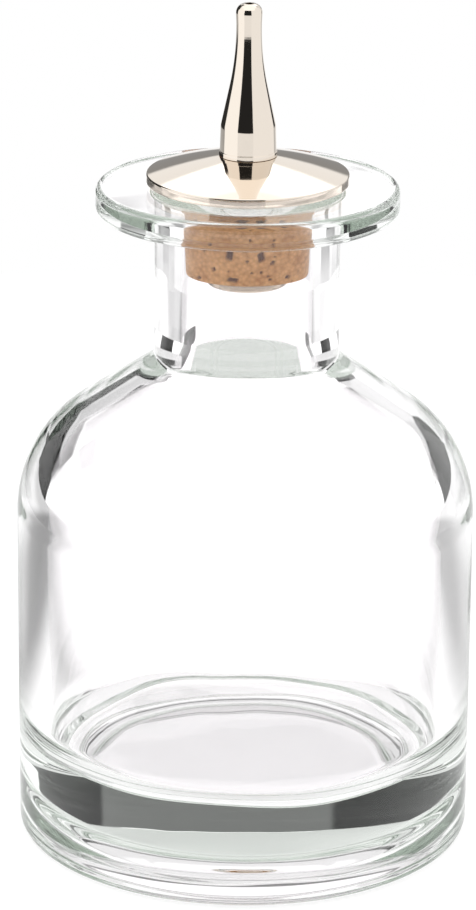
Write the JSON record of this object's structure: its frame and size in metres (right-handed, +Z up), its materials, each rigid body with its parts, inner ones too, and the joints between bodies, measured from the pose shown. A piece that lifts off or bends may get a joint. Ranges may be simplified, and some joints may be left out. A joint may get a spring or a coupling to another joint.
{
  "type": "bitters bottle",
  "caption": "Glass bottle with a flanged lip and a cork dasher stopper: domed metal cap and narrow dash spout for measuring drops.",
  "frame": {"origin": "centre of the bottle's base, on the surface it stands on", "axes": "+Z up along the bottle's axis, towards the spout's tip; the nut's two spanner holes lie along X"},
  "size_m": [0.06, 0.06, 0.1118],
  "materials": {
    "clear_glass": "clear moulded glass with a faint sea-green tint in its thick edges",
    "cork": "natural cork with dark pores",
    "nickel_plate": "polished nickel plate with a warm tone"
  },
  "bodies": {
    "bottle": {"bottle": "clear_glass"},
    "stopper": {"cork": "cork", "domed_cap": "nickel_plate", "stem_tube": "nickel_plate", "retaining_nut": "nickel_plate"},
    "spout": {"dash_spout": "nickel_plate"}
  },
  "joints": [
    {"name": "stopper_pull", "type": "slide", "parent": "bottle", "child": "stopper", "axis": [0, 0, 1], "range_m": [0, 0.03]},
    {"name": "spout_turn", "type": "hinge", "parent": "stopper", "child": "spout", "pos_m": [0, 0, 0.092], "axis": [0, 0, 1], "range_deg": [0, 2160]}
  ]
}
